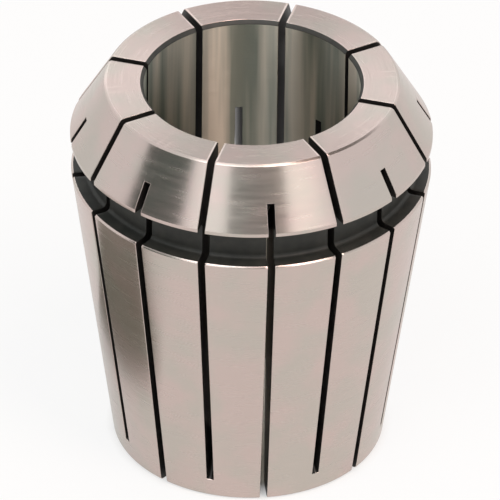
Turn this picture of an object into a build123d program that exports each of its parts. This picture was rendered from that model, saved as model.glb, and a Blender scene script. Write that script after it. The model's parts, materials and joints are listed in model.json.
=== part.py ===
from build123d import *
from math import radians, sqrt, tan
import os

os.makedirs("parts", exist_ok=True)

# A slit spring collet, turned and ground from one piece. It stands on its rear face, which lies
# in the XY plane, and its axis is +Z. The end that the clamping nut presses on is at the top.
# All lengths are in millimetres and all angles in degrees.

# Overall length and clamping bore
length = 46.0
bore_dia = 24.0

# Rear taper, which seats in the chuck
seat_dia = 40.0  # at its large end
seat_half_angle = 8.0

# Extraction groove, where the nut's ring hooks in to pull the collet out
groove_depth = 1.9  # below the large end of the rear taper
groove_width = 4.0
groove_fillet = 0.5

# Front taper, which the clamping nut presses on
nut_half_angle = 30.0
nut_taper_length = 6.6
nut_land = 0.5  # straight band left at the largest diameter, below the taper
nut_overhang = 0.1  # how far that band stands out past the rear taper

# Edge breaks
bore_chamfer = 0.4
front_edge_chamfer = 0.2
shoulder_chamfer = 0.2  # where the rear taper meets the groove
rear_edge_fillet = 0.5

# Slits, sawn through one wall at a time, from the rear end and the front end by turns
slits_per_end = 8
slit_width = 0.8
saw_dia = 50.0
saw_reach = 9.3  # how near the axis the saw's teeth come, inside the bore
front_bridge = 3.7  # metal left on the outside between a slit from the rear and the front face
rear_bridge = 2.4  # metal left on the outside between a slit from the front and the rear face

# The half section's heights and radii
groove_top = length - nut_taper_length - nut_land
seat_length = groove_top - groove_width
seat_radius = seat_dia / 2
groove_radius = seat_radius - groove_depth
largest_radius = seat_radius + nut_overhang
front_radius = largest_radius - nut_taper_length * tan(radians(nut_half_angle))
rear_radius = seat_radius - seat_length * tan(radians(seat_half_angle))

# The saw runs along the axis at a fixed distance, so each slit ends in an arc of the saw's own
# radius. The saw stops where that arc meets the outer surface at the stated bridge.
saw_radius = saw_dia / 2
saw_axis_radius = saw_reach + saw_radius
front_bridge_radius = front_radius + front_bridge * tan(radians(nut_half_angle))
rear_bridge_radius = rear_radius + rear_bridge * tan(radians(seat_half_angle))
rear_saw_stop = length - front_bridge - sqrt(saw_radius**2 - (saw_axis_radius - front_bridge_radius) ** 2)
front_saw_stop = rear_bridge + sqrt(saw_radius**2 - (saw_axis_radius - rear_bridge_radius) ** 2)


def saw_pass(start_height, stop_height):
    """What a saw removes as it runs from beyond an end face to its stop."""
    with BuildPart() as swept:
        with BuildSketch(Plane.XZ):
            with Locations((saw_axis_radius, (start_height + stop_height) / 2)):
                Rectangle(saw_dia, abs(stop_height - start_height))
            with Locations((saw_axis_radius, stop_height)):
                Circle(saw_radius)
        extrude(amount=slit_width / 2, both=True)
    return swept.part


rear_pass = saw_pass(-saw_radius, rear_saw_stop)
front_pass = saw_pass(length + saw_radius, front_saw_stop)

with BuildPart() as collet:
    # Turned blank
    with BuildSketch(Plane.XZ):
        with BuildLine():
            Polyline(
                (0, 0),
                (rear_radius, 0),
                (seat_radius, seat_length),
                (groove_radius, seat_length),
                (groove_radius, groove_top),
                (largest_radius, groove_top),
                (largest_radius, groove_top + nut_land),
                (front_radius, length),
                (0, length),
                close=True,
            )
        make_face()
    revolve(axis=Axis.Z)

    # Edges of the blank, one group for each height where the profile turns
    rims = collet.edges().filter_by(GeomType.CIRCLE).group_by(Axis.Z)
    rear_rim, shoulder_rims, flank_rims, land_rim, front_rim = rims
    groove_corners = [shoulder_rims.sort_by(SortBy.RADIUS)[0], flank_rims.sort_by(SortBy.RADIUS)[0]]
    chamfer(shoulder_rims.sort_by(SortBy.RADIUS)[-1], shoulder_chamfer)
    chamfer(front_rim, front_edge_chamfer)
    fillet(groove_corners, groove_fillet)
    fillet(rear_rim, rear_edge_fillet)

    # Clamping bore, broken at both mouths
    Hole(bore_dia / 2)
    mouths = collet.edges().filter_by(GeomType.CIRCLE)
    mouths = mouths.filter_by(lambda rim: abs(rim.radius - bore_dia / 2) < 1e-6)
    chamfer(mouths, bore_chamfer)

    # Slits, which turn the ring into fingers joined at alternate ends
    with PolarLocations(0, slits_per_end):
        add(rear_pass, mode=Mode.SUBTRACT)
    with PolarLocations(0, slits_per_end, start_angle=180 / slits_per_end):
        add(front_pass, mode=Mode.SUBTRACT)

collet.part.label = "collet"
export_step(collet.part, "parts/collet.step")
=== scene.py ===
import json
import bpy
import bmesh
from math import atan2, ceil, cos, pi, radians, sin, sqrt, tan
from mathutils import Matrix, Vector

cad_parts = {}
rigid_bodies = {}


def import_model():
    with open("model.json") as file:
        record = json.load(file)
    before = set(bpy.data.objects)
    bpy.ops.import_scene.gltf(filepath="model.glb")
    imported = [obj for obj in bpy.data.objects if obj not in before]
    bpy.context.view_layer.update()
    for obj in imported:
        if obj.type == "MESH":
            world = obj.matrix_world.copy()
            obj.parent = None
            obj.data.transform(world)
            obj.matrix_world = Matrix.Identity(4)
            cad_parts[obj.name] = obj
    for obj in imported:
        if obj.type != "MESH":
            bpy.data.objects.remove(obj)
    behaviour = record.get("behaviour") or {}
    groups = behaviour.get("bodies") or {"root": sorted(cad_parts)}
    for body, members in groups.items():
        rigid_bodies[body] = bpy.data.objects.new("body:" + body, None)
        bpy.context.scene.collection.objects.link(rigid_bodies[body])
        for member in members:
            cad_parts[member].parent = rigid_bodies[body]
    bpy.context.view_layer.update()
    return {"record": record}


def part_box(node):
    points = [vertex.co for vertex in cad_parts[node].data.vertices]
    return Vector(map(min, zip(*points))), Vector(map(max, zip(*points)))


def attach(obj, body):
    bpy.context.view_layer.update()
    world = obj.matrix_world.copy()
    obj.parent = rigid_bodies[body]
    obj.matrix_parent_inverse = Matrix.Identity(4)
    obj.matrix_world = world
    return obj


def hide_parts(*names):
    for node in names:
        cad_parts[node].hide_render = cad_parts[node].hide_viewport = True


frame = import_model()
mm = 0.001

# what a new file starts with
for leftover in [o for o in bpy.data.objects if o.name in ("Cube", "Light", "Camera")]:
    bpy.data.objects.remove(leftover)

mounts = {mount["name"]: mount for mount in frame["record"]["mounts"]}
colletLow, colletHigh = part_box("collet")

# every length in millimetres; the axis is +Z and the collet stands on its rear face
collet = {
    "length": (colletHigh.z - colletLow.z) / mm,
    "boreRadius": mounts["bore"]["dims"]["r_mm"],
    "boreChamfer": 0.4,
    "seatRadius": 20.0,  # large end of the rear taper
    "seatHalfAngle": 8.0,
    "grooveDepth": 1.9,
    "grooveWidth": 4.0,
    "grooveFillet": 0.5,
    "shoulderChamfer": 0.2,
    "nutHalfAngle": 30.0,
    "nutTaperLength": 6.6,
    "nutLand": 0.5,
    "nutOverhang": 0.1,
    "frontEdgeChamfer": 0.2,
    "rearEdgeFillet": 0.5,
    "edgeBreak": 0.09,  # deburring of every other edge; it has to be more than the slits' own
    "arcSteps": 5,  # faces in a quarter turn of rounding
}
slits = {
    "perEnd": 8,
    "halfWidth": 0.4,
    "sawRadius": 25.0,
    "sawReach": 9.3,  # how near the axis the saw's teeth come
    "frontBridge": 3.7,  # metal left on the outside past the end of a slit from the rear
    "rearBridge": 2.4,  # and past the end of a slit from the front
    "edgeBreak": 0.07,
    "edgeSteps": 3,  # faces across a rounded edge
    "arcSteps": 14,  # faces along the arc that the saw leaves
    "columns": 20,  # faces across each half finger
}
tiny = 1e-6  # closer than this, two places on the section are one
weldDistance = 1e-4  # closer than this, two points of the finished mesh are one


def outlineCorners():
    # the half section, anticlockwise from the middle of the bore: radius, height, rounding and
    # the finish of the stretch that follows
    c = collet
    seatSide, nutSide = radians(c["seatHalfAngle"]), radians(c["nutHalfAngle"])
    grooveTop = c["length"] - c["nutTaperLength"] - c["nutLand"]
    seatTop = grooveTop - c["grooveWidth"]
    grooveRadius = c["seatRadius"] - c["grooveDepth"]
    landRadius = c["seatRadius"] + c["nutOverhang"]
    frontRadius = landRadius - c["nutTaperLength"] * tan(nutSide)
    rearRadius = c["seatRadius"] - seatTop * tan(seatSide)
    bore, mouth, shoulder = c["boreRadius"], c["boreChamfer"], c["shoulderChamfer"]
    front, soft = c["frontEdgeChamfer"], c["edgeBreak"]
    shoulderRadius = c["seatRadius"] - shoulder * sin(seatSide)
    return [
        (bore, c["length"] / 2, 0, "bore"),
        (bore, mouth, soft, "blackened"),
        (bore + mouth, 0, soft, "ground"),
        (rearRadius, 0, c["rearEdgeFillet"], "ground"),
        (shoulderRadius, seatTop - shoulder * cos(seatSide), soft, "ground"),
        (c["seatRadius"] - shoulder, seatTop, soft, "blackened"),
        (grooveRadius, seatTop, c["grooveFillet"], "blackened"),
        (grooveRadius, grooveTop, c["grooveFillet"], "blackened"),
        (landRadius, grooveTop, soft, "ground"),
        (landRadius, grooveTop + c["nutLand"], soft, "ground"),
        (frontRadius + front * sin(nutSide), c["length"] - front * cos(nutSide), soft, "ground"),
        (frontRadius - front, c["length"], soft, "ground"),
        (bore + mouth, c["length"], soft, "blackened"),
        (bore, c["length"] - mouth, soft, "bore"),
    ]


def roundedOutline(corners):
    # rows of the section: distance along it, point, outward normal and finish; a rounded corner
    # keeps the finish of the stretch before it
    rows = []
    count = len(corners)
    for i, (r, z, radius, finish) in enumerate(corners):
        here = Vector((r, z))
        into = (here - Vector(corners[i - 1][:2])).normalized()
        out = (Vector(corners[(i + 1) % count][:2]) - here).normalized()
        turn = atan2(into.x * out.y - into.y * out.x, into.dot(out))
        side = 1 if turn > 0 else -1
        normal = Vector((into.y, -into.x))
        if radius == 0:
            rows.append({"point": here, "normal": normal, "finish": finish})
            continue
        start = here - into * radius * tan(abs(turn) / 2)
        centre = start - normal * side * radius
        steps = max(2, ceil(collet["arcSteps"] * abs(turn) / (pi / 2)))
        for k in range(steps + 1):
            turned = normal.copy()
            turned.rotate(Matrix.Rotation(turn * k / steps, 2))
            point = centre + turned * side * radius
            kept = finish if k == steps else corners[i - 1][3]
            rows.append({"point": point, "normal": turned, "finish": kept})
    travelled = 0.0
    for i, row in enumerate(rows):
        row["s"] = travelled
        travelled += (rows[(i + 1) % len(rows)]["point"] - row["point"]).length
    return rows, travelled


def sawStop(bridgeHeight, feed):
    # height of the saw's axis at the end of its run, from the metal it leaves on the outside
    c = collet
    if feed > 0:
        aboveLand = bridgeHeight - (c["length"] - c["nutTaperLength"])
        outside = c["seatRadius"] + c["nutOverhang"] - aboveLand * tan(radians(c["nutHalfAngle"]))
    else:
        seatTop = c["length"] - c["nutTaperLength"] - c["nutLand"] - c["grooveWidth"]
        outside = c["seatRadius"] - (seatTop - bridgeHeight) * tan(radians(c["seatHalfAngle"]))
    sideways = slits["sawReach"] + slits["sawRadius"] - outside
    return bridgeHeight - feed * sqrt(slits["sawRadius"] ** 2 - sideways**2)


def uncutStretch(rows, around, centre, feed):
    # where along the section the metal is whole across this slit: from, to
    ends = {}
    for i, row in enumerate(rows):
        after = rows[(i + 1) % len(rows)]
        run = after["point"] - row["point"]
        if (row["normal"] - after["normal"]).length > tiny or run.length < tiny:
            continue  # a rounded corner
        along = run.normalized()
        toCentre = row["point"] - row["normal"] * slits["edgeBreak"] - centre
        b, c = along.dot(toCentre), toCentre.length_squared - slits["sawRadius"] ** 2
        if b * b < c:
            continue
        for t in (-b - sqrt(b * b - c), -b + sqrt(b * b - c)):
            beyond = (toCentre + along * t).y * feed > 0
            if 0 < t < run.length and beyond:
                ends["start" if along.y * feed > 0 else "end"] = (row["s"] + t) % around
    return ends["start"], ends["end"]


# rings of a slit's rounded edge: how far each lies from the wall, and how deep below the skin
edgeTurns = [pi / 2 * k / slits["edgeSteps"] for k in range(slits["edgeSteps"] + 1)]
edgeAcross = [slits["edgeBreak"] * (1 - cos(turn)) for turn in edgeTurns]
edgeDepth = [slits["edgeBreak"] * (1 - sin(turn)) for turn in edgeTurns]


def rowRing(s, whole, around):
    # -1 where the slit is open, else the last of those rings that this row has reached
    fromStart, span = (s - whole[0]) % around, (whole[1] - whole[0]) % around
    if fromStart > span:
        return -1
    inside = min(fromStart, span - fromStart)
    return max(k for k, across in enumerate(edgeAcross) if inside >= across - tiny)


def addRows(rows, around, places):
    # extra rows on straight stretches of the section
    for s in places:
        s %= around
        i = max(k for k, row in enumerate(rows) if row["s"] <= s)
        before, after = rows[i], rows[(i + 1) % len(rows)]
        share = (s - before["s"]) / ((after["s"] - before["s"]) % around)
        point = before["point"].lerp(after["point"], share)
        rows.insert(i + 1, {
            "point": point, "normal": before["normal"], "finish": before["finish"], "s": s})


def colletMesh():
    # half a finger, from the middle of a rear slit to the middle of the next front slit, is a grid
    # of rows along the section and columns round the axis; copies of it make up the collet
    rows, around = roundedOutline(outlineCorners())
    pitch = pi / slits["perEnd"]
    half, reach = slits["halfWidth"], slits["sawReach"] + slits["sawRadius"]
    rearStop = sawStop(collet["length"] - slits["frontBridge"], 1)
    frontStop = sawStop(slits["rearBridge"], -1)
    rearSlit = {"centre": Vector((reach, rearStop)), "feed": 1, "side": 1, "turn": 0.0}
    frontSlit = {"centre": Vector((reach, frontStop)), "feed": -1, "side": -1, "turn": pitch}
    pair = [rearSlit, frontSlit]
    for slit in pair:
        slit["whole"] = uncutStretch(rows, around, slit["centre"], slit["feed"])
    for slit in pair:
        first, last = slit["whole"]
        addRows(rows, around, [first + a for a in edgeAcross] + [last - a for a in edgeAcross])
    for row in rows:
        for slit in pair:
            row[slit["feed"]] = rowRing(row["s"], slit["whole"], around)

    def beside(slit, row, across, ring):
        # a point on the skin at this distance from the middle plane of a slit
        depth = edgeDepth[max(ring, row[slit["feed"]])]
        point = row["point"] - row["normal"] * depth
        flat = Vector((sqrt(point.x**2 - across**2), across * slit["side"]))
        flat.rotate(Matrix.Rotation(slit["turn"], 2))
        return Vector((flat.x, flat.y, point.y))

    columns = [(rearSlit, 0.0, 0)] + [(rearSlit, half + a, k) for k, a in enumerate(edgeAcross)]
    between = len(columns)
    columns += [None] * (slits["columns"] - 1)
    columns += [(frontSlit, half + a, k) for k, a in reversed(list(enumerate(edgeAcross)))]
    columns += [(frontSlit, 0.0, 0)]
    lastColumn = len(columns) - 1

    mesh = bmesh.new()
    grid = {}
    for i, row in enumerate(rows):
        for j, column in enumerate(columns):
            if column is None:
                continue
            slit, across, ring = column
            if across == 0 and row[slit["feed"]] < 0:
                continue
            grid[i, j] = mesh.verts.new(beside(slit, row, across, ring))
        left, right = grid[i, between - 1].co, grid[i, between - 1 + slits["columns"]].co
        angles = atan2(left.y, left.x), atan2(right.y, right.x)
        for k in range(1, slits["columns"]):
            angle = angles[0] + (angles[1] - angles[0]) * k / slits["columns"]
            radius, height = row["point"]
            place = radius * cos(angle), radius * sin(angle), height
            grid[i, between - 1 + k] = mesh.verts.new(place)

    finishes = ["ground", "bore", "blackened", "slit"]
    for i, row in enumerate(rows):
        following = (i + 1) % len(rows)
        for j in range(lastColumn):
            keys = (i, j), (following, j), (following, j + 1), (i, j + 1)
            cornersOfFace = [grid.get(key) for key in keys]
            if None in cornersOfFace:
                continue  # the slit is open here
            face = mesh.faces.new(cornersOfFace)
            face.material_index = finishes.index(row["finish"])

    # wall and arc of both slits
    for slit, middle, wall in ((rearSlit, 0, 1), (frontSlit, lastColumn, lastColumn - 1)):
        first, last = slit["whole"]
        order = sorted(range(len(rows)), key=lambda i: (rows[i]["s"] - last) % around)
        span = (first - last) % around
        openRows = [i for i in order if (rows[i]["s"] - last) % around <= span + tiny]
        ends = [grid[i, wall].co for i in (openRows[0], openRows[-1])]
        arcRows = []
        towards = []
        for end in ends:
            flat = end.to_2d()
            flat.rotate(Matrix.Rotation(-slit["turn"], 2))
            towards.append(atan2(end.z - slit["centre"].y, flat.x - slit["centre"].x))
        sweep = (towards[0] - towards[1] + pi) % (2 * pi) - pi
        for k in range(1, slits["arcSteps"]):
            angle = towards[1] + sweep * k / slits["arcSteps"]
            x = slit["centre"].x + slits["sawRadius"] * cos(angle)
            z = slit["centre"].y + slits["sawRadius"] * sin(angle)
            arc = []
            for across in (0.0, half):
                flat = Vector((x, across * slit["side"]))
                flat.rotate(Matrix.Rotation(slit["turn"], 2))
                arc.append(mesh.verts.new((flat.x, flat.y, z)))
            arcRows.append(arc)
        wallLoop = [grid[i, wall] for i in openRows] + [arc[1] for arc in arcRows]
        face = mesh.faces.new(wallLoop)
        face.material_index = finishes.index("slit")
        strip = [(grid[openRows[-1], middle], grid[openRows[-1], wall])] + arcRows
        strip += [(grid[openRows[0], middle], grid[openRows[0], wall])]
        for (a, b), (c, d) in zip(strip, strip[1:]):
            face = mesh.faces.new((a, b, d, c))
            face.material_index = finishes.index("slit")

    # the half finger is mirrored, then the pair is turned round the axis
    halfFinger = list(mesh.verts) + list(mesh.edges) + list(mesh.faces)
    copy = bmesh.ops.duplicate(mesh, geom=halfFinger)["geom"]
    mirrored = [v for v in copy if isinstance(v, bmesh.types.BMVert)]
    for vert in mirrored:
        vert.co.y = -vert.co.y
    bmesh.ops.reverse_faces(mesh, faces=[f for f in copy if isinstance(f, bmesh.types.BMFace)])
    finger = list(mesh.verts) + list(mesh.edges) + list(mesh.faces)
    for k in range(1, slits["perEnd"]):
        copy = bmesh.ops.duplicate(mesh, geom=finger)["geom"]
        turned = [v for v in copy if isinstance(v, bmesh.types.BMVert)]
        bmesh.ops.rotate(mesh, verts=turned, matrix=Matrix.Rotation(2 * pitch * k, 3, "Z"))
    bmesh.ops.scale(mesh, verts=mesh.verts, vec=(mm, mm, mm))
    bmesh.ops.remove_doubles(mesh, verts=mesh.verts, dist=weldDistance * mm)
    bmesh.ops.recalc_face_normals(mesh, faces=mesh.faces)
    data = bpy.data.meshes.new("collet")
    mesh.to_mesh(data)
    loose = [e for e in mesh.edges if len(e.link_faces) != 2]
    volume = mesh.calc_volume() / mm**3
    mesh.free()
    print(f"collet mesh: {len(data.vertices)} points, {len(data.polygons)} faces, "
          f"{len(loose)} open edges, {volume:.0f} cubic millimetres")
    return data


def linear(hexColour):
    # an sRGB hex colour as the linear values that shaders take
    parts = [int(hexColour[i:i + 2], 16) / 255 for i in (1, 3, 5)]
    curved = (v / 12.92 if v <= 0.04045 else ((v + 0.055) / 1.055) ** 2.4 for v in parts)
    return tuple(curved) + (1.0,)


def addNode(tree, kind, inputs=None, **settings):
    # a node with its settings, its constants and the links into it
    node = tree.nodes.new(kind)
    for name, value in settings.items():
        setattr(node, name, value)
    for name, value in (inputs or {}).items():
        if isinstance(value, bpy.types.NodeSocket):
            tree.links.new(value, node.inputs[name])
        else:
            node.inputs[name].default_value = value
    return node


def newMaterial(name):
    material = bpy.data.materials.new(name)
    material.use_nodes = True
    tree = material.node_tree
    tree.nodes.clear()
    return material, tree


def setRamp(node, stops):
    ramp = node.color_ramp
    while len(ramp.elements) < len(stops):
        ramp.elements.new(0.5)
    for element, (place, colour) in zip(ramp.elements, stops):
        element.position, element.color = place, colour


noiseRange = 0.3, 0.7  # nearly all of a noise texture lies between these

# both tapers, both ends and the land; lengths in millimetres
groundSteel = {
    "colour": "#c8b8b2",
    "film": "#c0b8b0",  # where the thin film of oil lies thicker
    "filmSize": (6.0, 6.0, 6.0),
    "filmEdge": (0.4, 0.6),  # noise levels between which one turns into the other
    "roughness": 0.25,
    "roughnessSpread": 0.03,  # either way, as the marks go
    "anisotropy": 0.8,
    "markPitch": 0.2,  # grinding marks run about 0.02 mm apart; drawn ten times coarser to show
    "markLength": 6.0,
    "markDepth": 0.0008,
    "markStrength": 0.2,
}
# the bore, which a small wheel leaves duller; its two tones, lighter than the steel outside and
# laid in long streaks down the bore, are painted reflection
groundBore = {
    # both tones are painted reflection: light and dark streaks down the bore
    "colour": "#dcd3c5",
    "film": "#959a90",
    "filmSize": (2.5, 2.5, 60.0),  # stretched along the axis, so that the painted reflection runs in streaks down the bore
    "filmEdge": (0.4, 0.6),
    "roughness": 0.43,
    "roughnessSpread": 0.03,
    "anisotropy": 0.96,
    "markPitch": 0.2,  # ten times coarser, as above
    "markLength": 4.0,
    "markDepth": 0.001,
    "markStrength": 0.2,
}


def roundTheAxis(tree):
    # the place in millimetres, the direction from the axis, the distance from it and the height
    vectorMath = "ShaderNodeVectorMath"
    place = addNode(tree, "ShaderNodeTexCoord").outputs["Object"]
    inMm = addNode(tree, vectorMath, {0: place, "Scale": 1 / mm}, operation="SCALE").outputs[0]
    flat = addNode(tree, vectorMath, {0: inMm, 1: (1, 1, 0)}, operation="MULTIPLY").outputs[0]
    distance = addNode(tree, vectorMath, {0: flat}, operation="LENGTH").outputs["Value"]
    outward = addNode(tree, vectorMath, {0: flat}, operation="NORMALIZE").outputs[0]
    height = addNode(tree, "ShaderNodeSeparateXYZ", {0: inMm}).outputs["Z"]
    return inMm, outward, distance, height


def groundMaterial(name, look):
    # spring steel, hardened and then ground round the axis: the fine marks draw a lamp's
    # reflection out along the axis and leave it narrow round it; a second tone lies in patches,
    # which is oil on the outside and painted reflection streaks in the bore
    material, tree = newMaterial(name)
    inMm, outward, distance, height = roundTheAxis(tree)
    # noise that changes quickly along height plus distance, so across every ground face, and
    # slowly round the axis
    turned = addNode(tree, "ShaderNodeVectorMath", {
        0: outward, "Scale": collet["seatRadius"] / look["markLength"]}, operation="SCALE")
    travel = addNode(tree, "ShaderNodeMath", {0: height, 1: distance}, operation="ADD")
    travel = addNode(tree, "ShaderNodeMath", {
        0: travel.outputs[0], 1: 1 / look["markPitch"]}, operation="MULTIPLY")
    rise = addNode(tree, "ShaderNodeCombineXYZ", {"Z": travel.outputs[0]})
    markPlace = addNode(tree, "ShaderNodeVectorMath", {
        0: turned.outputs[0], 1: rise.outputs[0]}, operation="ADD")
    marks = addNode(tree, "ShaderNodeTexNoise", {
        "Vector": markPlace.outputs[0], "Scale": 1.0, "Detail": 2.0})
    # patches of the second tone: an oil film on the outside, painted reflection streaks in the bore
    filmAndReflectionPlace = addNode(tree, "ShaderNodeVectorMath", {
        0: inMm, 1: look["filmSize"]}, operation="DIVIDE")
    patches = addNode(tree, "ShaderNodeTexNoise", {
        "Vector": filmAndReflectionPlace.outputs[0], "Scale": 1.0, "Detail": 3.0})
    tone = addNode(tree, "ShaderNodeValToRGB", {"Fac": patches.outputs["Fac"]})
    bare, toned = look["filmEdge"]
    setRamp(tone, [(bare, linear(look["colour"])), (toned, linear(look["film"]))])
    spread = look["roughnessSpread"]
    rough = addNode(tree, "ShaderNodeMapRange", {
        "Value": marks.outputs["Fac"], "From Min": noiseRange[0], "From Max": noiseRange[1],
        "To Min": look["roughness"] - spread, "To Max": look["roughness"] + spread})
    bump = addNode(tree, "ShaderNodeBump", {
        "Height": marks.outputs["Fac"], "Strength": look["markStrength"],
        "Distance": look["markDepth"] * mm})
    # the tangent runs round the axis, and a quarter turn of it draws reflections out along the axis
    quarterTurn = 0.25
    tangent = addNode(tree, "ShaderNodeTangent", direction_type="RADIAL", axis="Z")
    shader = addNode(tree, "ShaderNodeBsdfPrincipled", {
        "Base Color": tone.outputs["Color"], "Metallic": 1.0, "Roughness": rough.outputs["Result"],
        "Anisotropic": look["anisotropy"], "Anisotropic Rotation": quarterTurn,
        "Tangent": tangent.outputs[0], "Normal": bump.outputs[0]})
    addNode(tree, "ShaderNodeOutputMaterial", {"Surface": shader.outputs[0]})
    return material


# the groove, which is scale from hardening, and the mouths of the bore, drawn in the same
# near-black; the patch size is in millimetres
blackScale = {
    "dark": "#292b28",
    "light": "#373733",
    "patchSize": 1.5,
    "patchEdge": (0.35, 0.7),  # noise levels between which dark turns to light
    "roughness": 0.5,
    "specular": 0.4,
}
# the walls of the slits: sawn, then blued by the hardening; darker and a little glossier
sawnSteel = {
    "dark": "#1d1c1b",
    "light": "#2b2927",
    "patchSize": 1.0,
    "patchEdge": (0.35, 0.7),
    "roughness": 0.42,
    "specular": 0.4,
}


def oxideMaterial(name, look):
    # near black, a little uneven, with a dull sheen, and no metal to the eye: the oxide that
    # hardening leaves where nothing was ground afterwards, and the same near-black on the mouths of
    # the bore
    material, tree = newMaterial(name)
    inMm = roundTheAxis(tree)[0]
    patches = addNode(tree, "ShaderNodeTexNoise", {
        "Vector": inMm, "Scale": 1 / look["patchSize"], "Detail": 4.0})
    tone = addNode(tree, "ShaderNodeValToRGB", {"Fac": patches.outputs["Fac"]})
    dark, light = look["patchEdge"]
    setRamp(tone, [(dark, linear(look["dark"])), (light, linear(look["light"]))])
    shader = addNode(tree, "ShaderNodeBsdfPrincipled", {
        "Base Color": tone.outputs["Color"], "Roughness": look["roughness"],
        "Specular IOR Level": look["specular"]})
    addNode(tree, "ShaderNodeOutputMaterial", {"Surface": shader.outputs[0]})
    return material


body = bpy.data.objects.new("collet_ground", colletMesh())
bpy.context.scene.collection.objects.link(body)
for polygon in body.data.polygons:
    polygon.use_smooth = True
body.data.materials.append(groundMaterial("ground spring steel", groundSteel))
body.data.materials.append(groundMaterial("spring steel ground inside the bore", groundBore))
body.data.materials.append(oxideMaterial("black hardening scale", blackScale))
body.data.materials.append(oxideMaterial("blued sawn steel", sawnSteel))
weighted = body.modifiers.new("flat faces stay flat", "WEIGHTED_NORMAL")
weighted.weight = 100  # the largest face at a corner has the most say
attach(body, "root")
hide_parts("collet")
print("collet made")

# camera: a long lens from well back, so the sides of the collet hardly draw together; lengths in
# millimetres
camera = {
    "azimuth": -6.9,
    "elevation": 34.88,
    "roll": 0.67,
    "distance": 1640.0,
    "pixelsPerMm": 8.975,  # at the middle of the object, in a frame 500 pixels wide
    "middle": (250.05, 252.45),  # where the object's middle lies in that frame
    "frame": 500,
    "sensorWidth": 36.0,
    "nearest": 100.0,
    "farthest": 20000.0,
}


def addCamera(c):
    data = bpy.data.cameras.new("camera")
    eye = bpy.data.objects.new("camera", data)
    bpy.context.scene.collection.objects.link(eye)
    a, e = radians(c["azimuth"]), radians(c["elevation"])
    back = Vector((sin(a) * cos(e), -cos(a) * cos(e), sin(e)))
    right = Vector((cos(a), sin(a), 0))
    up = back.cross(right)
    middle = Vector((0, 0, collet["length"] / 2)) * mm
    roll = Matrix.Rotation(radians(c["roll"]), 3, back)
    right, up = roll @ right, roll @ up
    x, y = (v - c["frame"] / 2 for v in c["middle"])
    aim = middle - right * x / c["pixelsPerMm"] * mm + up * y / c["pixelsPerMm"] * mm
    turned = Matrix((right, up, back)).transposed().to_4x4()
    eye.matrix_world = Matrix.Translation(aim + back * c["distance"] * mm) @ turned
    data.sensor_width = c["sensorWidth"]
    data.lens = c["pixelsPerMm"] * c["distance"] / c["frame"] * data.sensor_width
    data.clip_start, data.clip_end = c["nearest"] * mm, c["farthest"] * mm
    bpy.context.scene.camera = eye


addCamera(camera)
print("camera placed")

# studio: a pale floor in a white surround, so that the metal has white to reflect
studio = {
    "floorSize": 3.0,  # metres
    "floorColour": "#f4f4f2",
    "surroundLevel": 0.38,  # level of its light; the eye and the metal see it plain white
    "shownWhite": 0.85,  # share of plain white in the floor to the eye; the rest takes the shadow
    "mirroredWhite": 0.6,  # and its share to the metal
    "fade": 4.0,  # millimetres past the bore's edge over which both shares grow from nothing
}


def whiteTo(tree, shown, mirrored):
    # the share of plain white that the camera's rays see, and that glossy and transmitted rays see
    rays = addNode(tree, "ShaderNodeLightPath").outputs
    eye = addNode(tree, "ShaderNodeMath", {
        0: rays["Is Camera Ray"], 1: shown}, operation="MULTIPLY")
    metal = addNode(tree, "ShaderNodeMath", {
        0: rays["Is Glossy Ray"], 1: rays["Is Transmission Ray"]}, operation="MAXIMUM")
    metal = addNode(tree, "ShaderNodeMath", {
        0: metal.outputs[0], 1: mirrored}, operation="MULTIPLY")
    return addNode(tree, "ShaderNodeMath", {
        0: eye.outputs[0], 1: metal.outputs[0]}, operation="MAXIMUM")


def addStudio(c):
    plane = bpy.data.meshes.new("floor")
    h = c["floorSize"] / 2
    plane.from_pydata([(-h, -h, 0), (h, -h, 0), (h, h, 0), (-h, h, 0)], [], [(0, 1, 2, 3)])
    floor = bpy.data.objects.new("floor", plane)
    bpy.context.scene.collection.objects.link(floor)
    material, tree = newMaterial("studio floor")
    # matt paper, even but for the shadow; inside the bore it is only lit, so it stays dark there
    distance = roundTheAxis(tree)[2]
    clear = addNode(tree, "ShaderNodeMapRange", {
        "Value": distance, "From Min": collet["boreRadius"],
        "From Max": collet["boreRadius"] + c["fade"]})
    share = whiteTo(tree, c["shownWhite"], c["mirroredWhite"])
    share = addNode(tree, "ShaderNodeMath", {
        0: share.outputs[0], 1: clear.outputs[0]}, operation="MULTIPLY")
    lit = addNode(tree, "ShaderNodeBsdfDiffuse", {"Color": linear(c["floorColour"])})
    white = addNode(tree, "ShaderNodeEmission", {"Color": (1, 1, 1, 1), "Strength": 1.0})
    mixed = addNode(tree, "ShaderNodeMixShader", {
        0: share.outputs[0], 1: lit.outputs[0], 2: white.outputs[0]})
    addNode(tree, "ShaderNodeOutputMaterial", {"Surface": mixed.outputs[0]})
    plane.materials.append(material)

    world = bpy.data.worlds.new("surround")
    bpy.context.scene.world = world
    world.use_nodes = True
    tree = world.node_tree
    tree.nodes.clear()
    share = whiteTo(tree, 1.0, 1.0)
    around = addNode(tree, "ShaderNodeBackground", {
        "Color": (1, 1, 1, 1), "Strength": c["surroundLevel"]})
    white = addNode(tree, "ShaderNodeBackground", {"Color": (1, 1, 1, 1), "Strength": 1.0})
    mixed = addNode(tree, "ShaderNodeMixShader", {
        0: share.outputs[0], 1: around.outputs[0], 2: white.outputs[0]})
    addNode(tree, "ShaderNodeOutputWorld", {"Surface": mixed.outputs[0]})


faceMiddle = Vector((0, 0, 0.04))  # lamps and cards face this place, on the axis at the front taper
floorMiddle = Vector((0, 0, 0.0005))  # and sheets lie at this height, just clear of the floor


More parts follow.
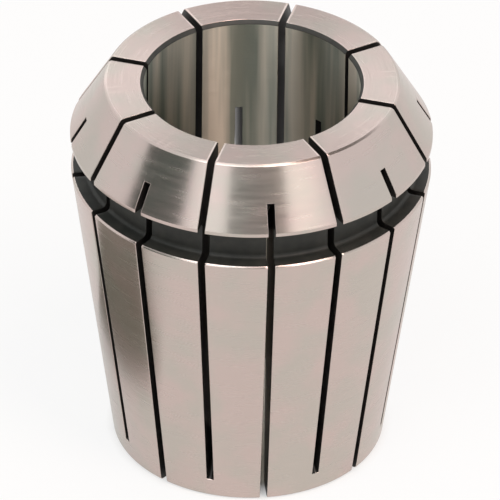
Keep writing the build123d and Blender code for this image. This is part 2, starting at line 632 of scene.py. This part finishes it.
def placed(name, data, bearing, elevation, distance, target=faceMiddle):
    # an object at this bearing to the right of the camera, this far from the target and facing it
    a, e = radians(camera["azimuth"] + bearing), radians(elevation)
    towards = Vector((sin(a) * cos(e), -cos(a) * cos(e), sin(e)))
    thing = bpy.data.objects.new(name, data)
    bpy.context.scene.collection.objects.link(thing)
    thing.location = target + towards * distance
    thing.rotation_mode = "QUATERNION"
    thing.rotation_quaternion = towards.to_track_quat("Z", "Y")
    return thing


# lamps: bearing to the right of the camera, elevation, width and height, all in degrees as the
# collet sees them; the level is what a lamp adds to the white surround behind it
lampDistance = 0.8  # metres
lamps = {
    "softbox left": {"bearing": -29, "elevation": 26, "width": 31, "height": 44, "level": 0.22},
    "softbox right": {"bearing": 36, "elevation": 26, "width": 28, "height": 44, "level": 0.12},
    "high lamp left": {"bearing": -29, "elevation": 60, "width": 30, "height": 30, "level": 3.2},
    "high lamp right": {
        "bearing": 43, "elevation": 60, "width": 18, "height": 36, "level": 8.0,
        "colour": "#ffe6da"},
    "softbox back left": {
        "bearing": -160, "elevation": 28, "width": 26, "height": 40, "level": 0.75},
    "softbox back right": {
        "bearing": 160, "elevation": 44, "width": 26, "height": 40, "level": 0.65},
}
# cards that the metal mirrors: bearing and elevation in degrees, distance and size in metres
cards = {
    "grey card in front": {
        "bearing": 4.5, "elevation": 26, "distance": 0.7, "size": (0.43, 0.56),
        "colour": "#8e9594"},
    "dark card left": {
        "bearing": -60, "elevation": 20, "distance": 0.7, "size": (0.432, 0.56),
        "colour": "#5c6966"},
    "dark card high right": {
        "bearing": 97, "elevation": 60, "distance": 0.7, "size": (0.6, 0.4),
        "colour": "#66665f"},
    "pale card behind": {
        "bearing": 180, "elevation": 42, "distance": 0.7, "size": (0.085, 0.7),
        "colour": "#eceef2"},
}
# paper that lies on the floor beside the collet, and that only the metal sees
sheets = {
    "dark paper left": {
        "bearing": -84.5, "distance": 0.045, "size": (0.037, 0.034), "colour": "#7a7b72"},
}


def addLamp(name, c):
    data = bpy.data.lights.new(name, "AREA")
    data.shape = "RECTANGLE"
    data.size, data.size_y = (
        2 * lampDistance * tan(radians(c[side]) / 2) for side in ("width", "height"))
    data.energy = c["level"] * pi * data.size * data.size_y
    data.color = linear(c.get("colour", "#ffffff"))[:3]
    placed(name, data, c["bearing"], c["elevation"], lampDistance)


def addCard(name, c):
    # matt card that only the metal sees; it faces the collet, or lies flat if it has no elevation
    data = bpy.data.meshes.new(name)
    x, y = (side / 2 for side in c["size"])
    data.from_pydata([(-x, -y, 0), (x, -y, 0), (x, y, 0), (-x, y, 0)], [], [(0, 1, 2, 3)])
    material, tree = newMaterial(name)
    matt = addNode(tree, "ShaderNodeBsdfDiffuse", {"Color": linear(c["colour"])})
    addNode(tree, "ShaderNodeOutputMaterial", {"Surface": matt.outputs[0]})
    data.materials.append(material)
    if "elevation" in c:
        card = placed(name, data, c["bearing"], c["elevation"], c["distance"])
    else:
        card = placed(name, data, c["bearing"], 0, c["distance"], floorMiddle)
        card.rotation_quaternion = Vector((0, 0, 1)).to_track_quat("Z", "Y")
    card.visible_camera = card.visible_shadow = card.visible_diffuse = False


addStudio(studio)
for name, lamp in lamps.items():
    addLamp(name, lamp)
for name, card in (cards | sheets).items():
    addCard(name, card)
bpy.context.scene.view_settings.view_transform = "Standard"
print("studio lit")
